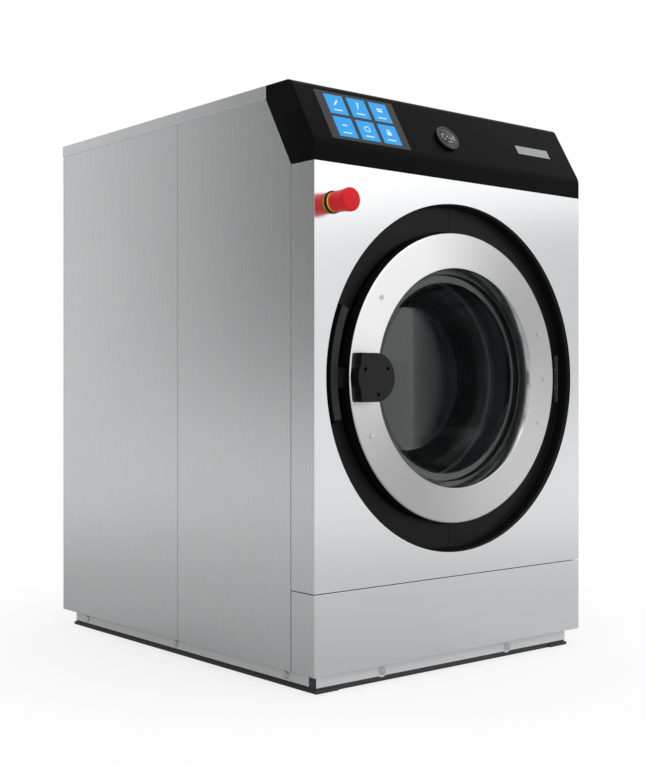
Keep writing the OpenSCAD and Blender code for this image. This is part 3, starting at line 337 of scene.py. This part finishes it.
# ---------------------------------------------------------------- seals, belt, motor, valves
# Moulded rubber, a painted induction motor and glass-filled nylon valves.
rubber = coated("rubber, moulded black", "#161617", 0.6, 800, 0.00005, shine=0.3)
dressed("shaft_seal", "lip_seal", rubber, "cabinet", 0.0004)
dressed("drive_belt", "belt", coated("rubber, ribbed belt", "#222223", 0.7, 500, 0.0001),
        "cabinet", 0.0005)
dressed("motor", "motor_body", coated("steel, grey machine enamel", "#3b4146", 0.4, 600), "cabinet",
        0.0012)
dressed("motor_pulley", "pulley_small", ground_steel, "motor_rotor", 0.0006)
nylon = coated("nylon, glass filled", "#2b2d30", 0.5, 900)
dressed("drain_valve", "drain", nylon, "cabinet", 0.001)
dressed("water_inlets", "inlets", nylon, "cabinet", 0.0008)
dressed("cable_gland", "gland", nylon, "cabinet", 0.0006)


# ---------------------------------------------------------------- mouth seal
# A moulded rubber ring on the tub's neck that the glass presses into.
def inward(x, z):
    """Puts a piece made about +Z on a line through the front panel, with +Z running inwards."""
    return Matrix.Translation((x, front, z)) @ Matrix.Rotation(math.radians(-90), 4, "X")


def turned(name, profile, place, material, body, node=None, steps=180, turn=30, width=0.0006):
    """A profile of (radius, height) in mm spun about +Z, then put in its place."""
    mesh = bpy.data.meshes.new(name)
    edges = [(i, i + 1) for i in range(len(profile) - 1)] + [(len(profile) - 1, 0)] * (profile[0][0] > 0)
    mesh.from_pydata([(r / 1000, 0, h / 1000) for r, h in profile], edges, [])
    piece = bpy.data.objects.new(name, mesh)
    scene.collection.objects.link(piece)
    bpy.ops.object.select_all(action="DESELECT")
    bpy.context.view_layer.objects.active = piece
    piece.select_set(True)
    bpy.ops.object.mode_set(mode="EDIT")
    bpy.ops.mesh.select_all(action="SELECT")
    bpy.ops.mesh.spin(steps=steps, angle=2 * math.pi, center=(0, 0, 0), axis=(0, 0, 1))
    bpy.ops.mesh.select_all(action="SELECT")
    bpy.ops.mesh.remove_doubles(threshold=0.00001)
    bpy.ops.mesh.normals_make_consistent(inside=False)
    bpy.ops.object.mode_set(mode="OBJECT")
    mesh.transform(place)
    mesh.materials.append(material)
    bpy.ops.object.shade_smooth_by_angle(angle=math.radians(turn))
    if width:
        bevel = piece.modifiers.new("edges", "BEVEL")
        bevel.width, bevel.segments, bevel.harden_normals = width, 3, True
        bevel.angle_limit = math.radians(turn)
        bpy.ops.object.modifier_apply(modifier=bevel.name)
    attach(piece, body)
    if node:
        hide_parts(node)
    return piece


dressed("mouth_seal", "seal_mouth", rubber, "cabinet", 0.001)

# ---------------------------------------------------------------- door surround
# Two moulded halves, black and finely grained, with a recess for the grip at the left.
surround_black = coated("ABS, moulded black, fine grain", "#121213", 0.38, 1500, 0.00004, shine=0.16)
dressed("surround_left", "surround_half_left", surround_black, "cabinet", 0.001, 28)
dressed("surround_right", "surround_half_right", surround_black, "cabinet", 0.001, 28)

# ---------------------------------------------------------------- hinge and door lock
# Pressed steel in black paint with a ground pin; the lock is a nylon case with a steel bolt.
black_paint = coated("steel, black powder coat", "#121213", 0.45, 700, shine=0.3)
dressed("hinge_bracket", "hinge_plate", black_paint, "cabinet", 0.0006)
dressed("hinge_pin", "hinge_rod", ground_steel, "cabinet", 0.0005)
dressed("hinge_leaf", "hinge_arm", black_paint, "door", 0.0006)
dressed("door_lock", "lock_case", nylon, "cabinet", 0.001)
dressed("lock_bolt", "lock_pin", ground_steel, "lock_bolt", 0.0004)

# ---------------------------------------------------------------- door carrier, glass and gasket
# The moulded carrier holds a pressed bowl of toughened glass against a rubber ring.
carrier_black = coated("PBT, moulded black", "#121213", 0.4, 1200, 0.00003, shine=0.25)
dressed("door_carrier", "carrier", carrier_black, "door", 0.0008)
dressed("door_gasket", "gasket", rubber, "door", 0.0008)

glass = bpy.data.materials.new("toughened borosilicate glass, faint smoke")
glass.use_nodes = True
tree = glass.node_tree
tree.nodes.clear()
waves = add(tree, "TexNoise", {
    "Vector": add(tree, "TexCoord").outputs["Object"], "Scale": 18.0, "Detail": 1.0})
ripple = add(tree, "Bump", {"Height": waves.outputs["Fac"], "Distance": 0.0004, "Strength": 0.06})
clear = add(tree, "BsdfTransparent", {"Color": linear("#f0f2f2")})
sheen = add(tree, "BsdfGlossy", {"Roughness": 0.04, "Normal": ripple.outputs[0]})
edge_on = add(tree, "Fresnel", {"IOR": 1.47, "Normal": ripple.outputs[0]})
weak = add(tree, "Math", {0: edge_on.outputs[0], 1: 0.22}, operation="MULTIPLY")
both = add(tree, "MixShader", {0: weak.outputs[0], 1: clear.outputs[0], 2: sheen.outputs[0]})
add(tree, "OutputMaterial", {"Surface": both.outputs[0]})
bowl_profile = [
    (0, 145), (136, 145), (139, 144.6), (141, 143), (152, 106), (151.4, 101), (152.6, 96.5),
    (156.5, 92.5), (161, 86), (175, 73.5), (179, 66), (181, 27), (208, 27), (208, 33), (185, 33),
    (184.5, 68), (183, 74), (164, 90), (161, 97), (147, 147), (145, 150), (141, 151), (0, 151)]
turned("bowl", bowl_profile, inward(0, axis.z), glass, "door", "door_glass", 192, 50, 0)

# ---------------------------------------------------------------- door ring
# One spun disc of stainless steel, brushed round and round, with a polished inner cone. Its base colour holds
# painted highlights: lighter at the upper left and lower right, darker to the right and bottom.
ring_steel = bpy.data.materials.new("stainless steel, door ring, brushed round")
ring_steel.use_nodes = True
tree = ring_steel.node_tree
shader = tree.nodes["Principled BSDF"]
place = add(tree, "Mapping", {
    "Vector": add(tree, "TexCoord").outputs["Object"], "Location": -axis})
flat = add(tree, "VectorMath", {0: place.outputs[0], 1: (1, 0, 1)}, operation="MULTIPLY")
reach = add(tree, "VectorMath", {0: flat.outputs[0]}, operation="LENGTH")
groove = add(tree, "TexNoise", {"W": reach.outputs["Value"], "Scale": 1100.0, "Detail": 2.0},
             noise_dimensions="1D")
rough = add(tree, "MapRange", {
    "Value": groove.outputs["Fac"], "From Min": 0.3, "From Max": 0.7, "To Min": 0.3, "To Max": 0.38})
bump = add(tree, "Bump", {"Height": groove.outputs["Fac"], "Distance": 0.00002, "Strength": 0.25})
way = add(tree, "Tangent", direction_type="RADIAL", axis="Y")
tree.links.new(rough.outputs[0], shader.inputs["Roughness"])
tree.links.new(bump.outputs[0], shader.inputs["Normal"])
tree.links.new(way.outputs[0], shader.inputs["Tangent"])
# Painted highlights: the base colour gets lighter where the ring leans towards the upper left or lower right,
# and darker towards the right and bottom.
lean = add(tree, "VectorMath", {0: flat.outputs[0]}, operation="NORMALIZE")
painted_highlight_side = add(tree, "VectorMath", {0: lean.outputs[0], 1: (-0.7, 0, 0.7)}, operation="DOT_PRODUCT")
square = add(tree, "Math", {0: painted_highlight_side.outputs["Value"], 1: 2.0}, operation="POWER")
wide = add(tree, "Math", {0: square.outputs[0], 1: 0.42, 2: 0.5}, operation="MULTIPLY_ADD")
tone = add(tree, "Math", {0: painted_highlight_side.outputs["Value"], 1: 0.17, 2: wide.outputs[0]}, operation="MULTIPLY_ADD")
shade = add(tree, "CombineColor", {0: tone.outputs[0], 1: tone.outputs[0], 2: tone.outputs[0]})
tree.links.new(shade.outputs[0], shader.inputs["Base Color"])
shader.inputs["Metallic"].default_value = 1.0
shader.inputs["Anisotropic"].default_value = 0.5
polished = brushed("stainless steel, polished", "#c8c9ca", (30, 30, 30), 0.14, 0.00001)
ring = turned("ring", [(211, 0), (276, 0), (278, 2), (278, 4), (213, 4), (202, 26), (200, 26), (200, 24)],
              inward(0, axis.z), ring_steel, "door", "door_ring", 240, width=0.0008)
ring.data.materials.append(polished)
cone_edge_r = 0.2105
for face in ring.data.polygons:
    if math.hypot(face.center.x, face.center.z - axis.z) < cone_edge_r:
        face.material_index = 1

# ---------------------------------------------------------------- hub, grip and screws
# The hub covers the handle's pivot; the grip is a curved bar in softer grey plastic. The
# screws are bright on the ring and blackened on the hub.
dressed("latch_housing", "hub", carrier_black, "door", 0.0016)
dressed("handle_pin", "grip_pivot", ground_steel, "door", 0.0004)
grip_plastic = coated("polyamide, moulded dark grey", "#1f2021", 0.4, 1300, 0.00003, shine=0.3)
grip = dressed("handle_lever", "grip", grip_plastic, "handle", 0.002)
# Painted shade: the lever's arm, inside the grip's inner radius, takes the carrier's black so that it reads as
# the dark gap between grip and ring.
grip.data.materials.append(carrier_black)
grip_inner_r = 0.2995
for face in grip.data.polygons:
    if math.hypot(face.center.x, face.center.z - axis.z) < grip_inner_r:
        face.material_index = 1
screws = dressed("door_screws", "screws", bolt_steel, "door", 0.0003)
screws.data.materials.append(coated("steel, black oxide", "#151516", 0.35, 300, 0.000004, 0.6))
hub = sum(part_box("latch_housing"), Vector()) / 2
hub_reach = 0.05
for face in screws.data.polygons:
    if math.hypot(face.center.x - hub.x, face.center.z - hub.z) < hub_reach:
        face.material_index = 1


# ---------------------------------------------------------------- console
# A moulded black housing with a sloping face; pieces on the slope are made lying flat.
console_black = coated("ABS, moulded black, satin", "#050506", 0.32, 1600, 0.00002, shine=0.05)
dressed("console_housing", "console", console_black, "cabinet", 0.0012, 20)
band_height = 0.037
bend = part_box("console_housing")[0].z + band_height
tilt = math.radians(60)


def on_slope(x, up, lift=0.0):
    """Puts a piece made flat, +Z out, on the console's slope, up from its bend."""
    out = Vector((0, -math.sin(tilt), math.cos(tilt)))
    along = Vector((0, math.cos(tilt), math.sin(tilt)))
    foot = Matrix.Translation(Vector((x, front, bend)) + along * up + out * lift)
    return foot @ Matrix.Rotation(tilt, 4, "X")


# ---------------------------------------------------------------- touch screen and its tiles
# Glass over a lit display: six blue tiles, each with a plain white sign and a bar under it.
screen_mm = (-218, 64)
bezel = coated("glass, painted grey behind", "#2b2b2c", 0.16, 60, 0.000001, shine=0.4)
dressed("touch_screen", "screen", bezel, "cabinet", 0.0004)


def lit(name, colour, power):
    """A display layer that gives its own even light."""
    made = bpy.data.materials.new(name)
    made.use_nodes = True
    tree = made.node_tree
    shader = tree.nodes["Principled BSDF"]
    grid = add(tree, "TexWave", {"Vector": add(tree, "TexCoord").outputs["Object"], "Scale": 500.0})
    level = add(tree, "MapRange", {
        "Value": grid.outputs["Fac"], "To Min": power * 0.97, "To Max": power * 1.03})
    tree.links.new(level.outputs[0], shader.inputs["Emission Strength"])
    shader.inputs["Emission Color"].default_value = linear(colour)
    shader.inputs["Base Color"].default_value = linear("#101214")
    shader.inputs["Roughness"].default_value = 0.2
    shader.inputs["Specular IOR Level"].default_value = 0.3
    return made


tile_blue = lit("display, lit blue", "#25a5f2", 0.95)
sign_white = lit("display, lit white", "#f4f8fc", 0.95)


def signs(name, bars, x, up, material, lift, thick=0.0002):
    """Flat bars (x, y, length, width, angle) in mm on the slope, as one piece."""
    bpy.ops.mesh.primitive_plane_add(size=0.0001)
    piece = bpy.context.object
    piece.name = name
    bpy.ops.object.mode_set(mode="EDIT")
    bpy.ops.mesh.delete(type="VERT")
    for bx, by, length, width, angle in bars:
        bpy.ops.mesh.primitive_plane_add(size=0.001, rotation=(0, 0, math.radians(angle)))
        bpy.ops.transform.resize(value=(length, width, 1), orient_matrix=Matrix.Rotation(
            math.radians(angle), 3, "Z"), orient_type="GLOBAL", orient_matrix_type="GLOBAL")
        bpy.ops.transform.translate(value=(bx / 1000, by / 1000, 0))
        bpy.ops.mesh.extrude_region_move(TRANSFORM_OT_translate={"value": (0, 0, thick)})
        bpy.ops.mesh.select_all(action="DESELECT")
    bpy.ops.mesh.select_all(action="SELECT")
    bpy.ops.mesh.normals_make_consistent(inside=False)
    bpy.ops.object.mode_set(mode="OBJECT")
    piece.data.transform(on_slope(x / 1000, up / 1000, lift))
    piece.data.materials.append(material)
    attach(piece, "cabinet")
    return piece


tile_step = (54, 26)


def tile_centre(column, row):
    """The middle of a tile in mm, across and up the slope."""
    return screen_mm[0] + tile_step[0] * (column - 1), screen_mm[1] + tile_step[1] * (1 - 2 * row)


for column in range(3):
    for row in range(2):
        x, up = tile_centre(column, row)
        signs(f"tile_{column + 1}_{row + 1}", [(0, 0, 44, 45, 0)], x, up, tile_blue, 0.0001, 0.0003)
        signs(f"tile_bar_{column + 1}_{row + 1}", [(0, -13, 20, 2.2, 0)], x, up, sign_white, 0.0004)
sign_bars = {
    "pencil": [(1, 5, 13, 3.4, 48), (-5, -1.5, 3, 2, 48)],
    "pen": [(0, 6, 11, 2.6, 75), (-1.5, -0.5, 4, 1.4, 75), (1, 12, 3, 3.6, 75)],
    "bars": [(0, 7.5, 13, 3.6, 0), (0, 2.5, 13, 2.6, 0)],
    "line": [(0, 4, 11, 2.4, 0)],
    "loop": [(-5.5, 4, 1.6, 9, 0), (5.5, 4, 1.6, 9, 0), (0, -1, 9, 1.6, 0), (-1.5, 9, 6, 1.6, 0),
             (4, 10.5, 4, 1.5, 45)],
    "padlock": [(0, 2, 10, 7, 0), (-3, 8, 1.5, 5, 0), (3, 8, 1.5, 5, 0), (0, 10.6, 7.5, 1.5, 0)],
}
for index, (name, bars) in enumerate(sign_bars.items()):
    x, up = tile_centre(index % 3, index // 3)
    signs(f"sign_{name}", bars, x, up, sign_white, 0.0004)

# ---------------------------------------------------------------- badge plate
# A blank plate of brushed aluminium stuck beside the selector, with rounded edges.
badge_metal = brushed("aluminium, brushed and anodised", "#b9babc", (9, 900, 900), 0.28)
dressed("badge_plate", "badge", badge_metal, "cabinet", 0.0005)

# ---------------------------------------------------------------- selector
# A turned knob: a dark ring round a glossy face with faint marks, on a push shaft.
knob_dark = coated("ABS, moulded dark grey, satin", "#2c2d2f", 0.3, 1500, 0.00002)
knob_face = coated("acrylic, smoked and glossy", "#16181a", 0.08, 30, 0.000001, shine=0.7)
knob_mm = (-9, 51.97)
knob_place = on_slope(knob_mm[0] / 1000, knob_mm[1] / 1000)
turned("knob", [(0, 2), (26.2, 2), (27, 2.8), (27, 5.4), (26, 6.5), (23.2, 6.5), (22, 5.6), (22, 4.9),
                (0, 4.9)],
       knob_place, knob_dark, "selector_dial", "selector_knob", 96)
turned("knob_window", [(0, 5), (21.8, 5), (21.8, 5.5), (21, 5.8), (0, 5.8)],
       knob_place, knob_face, "selector_dial", None, 96, width=0.0002)
marks = lit("display, lit pale", "#c4d4de", 0.7)
dial = signs("knob_marks", [
    (-15, 2, 1.6, 9, 0), (-10, -4.5, 6, 1.5, 0), (-10, 7, 6, 1.5, 0), (-1, 3, 6, 1.8, 0),
    (4, -1, 4, 1.6, 0),
    (9, -2, 2.4, 5, 0), (16, 2, 2, 13, 0), (3, -10, 13, 1.4, 0)], *knob_mm, marks, 0.0058, 0.0002)
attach(dial, "selector_dial")
dressed("selector_shaft", "knob_shaft", ground_steel, "selector_plunger", 0.0004)
dressed("selector_encoder", "encoder", nylon, "cabinet", 0.0005)

# ---------------------------------------------------------------- emergency stop
# A black collar, a yellow ring and a long red head that flares towards its end. The
# head is hollow at its back and slides over the ring when it is pushed in.
stop_x = sum(corner.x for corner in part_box("stop_head")) / 2
stop_z = sum(corner.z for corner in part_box("stop_head")) / 2
stop_place = inward(stop_x, stop_z)
stop_black = coated("polyamide, moulded black", "#0a0a0b", 0.4, 1300, 0.00002, shine=0.2)
stop_yellow = coated("polyamide, moulded yellow", "#f8e000", 0.35, 1300, 0.00002)
stop_red = coated("polyamide, moulded red", "#e0121c", 0.4, 1300, 0.00002, shine=0.25)
turned("stop_base", [(14.5, -3), (19.6, -3), (20.4, -2.2), (20.4, -0.3), (14.5, -0.3)], stop_place,
       stop_black, "cabinet", "stop_collar", 96, width=0.0003)
turned("stop_band", [(14.5, -7.5), (17.7, -7.5), (18.1, -7.1), (18.1, -3.1), (14.5, -3.1)], stop_place,
       stop_yellow, "cabinet", "stop_ring", 96, width=0.0003)
turned("stop_button", [(0, -14), (18.2, -14), (18.2, -7.7), (18.9, -7.7), (19, -22), (19.5, -33),
                       (20.7, -40), (21, -43), (21, -47.2), (19.6, -49.1), (17, -49.6), (0, -49.6)], stop_place,
       stop_red, "stop_button", "stop_head", 96, 20, 0.0004)
dressed("stop_stem", "stop_rod", ground_steel, "stop_plunger", 0.0004)
dressed("stop_contacts", "stop_block", nylon, "cabinet", 0.0006)
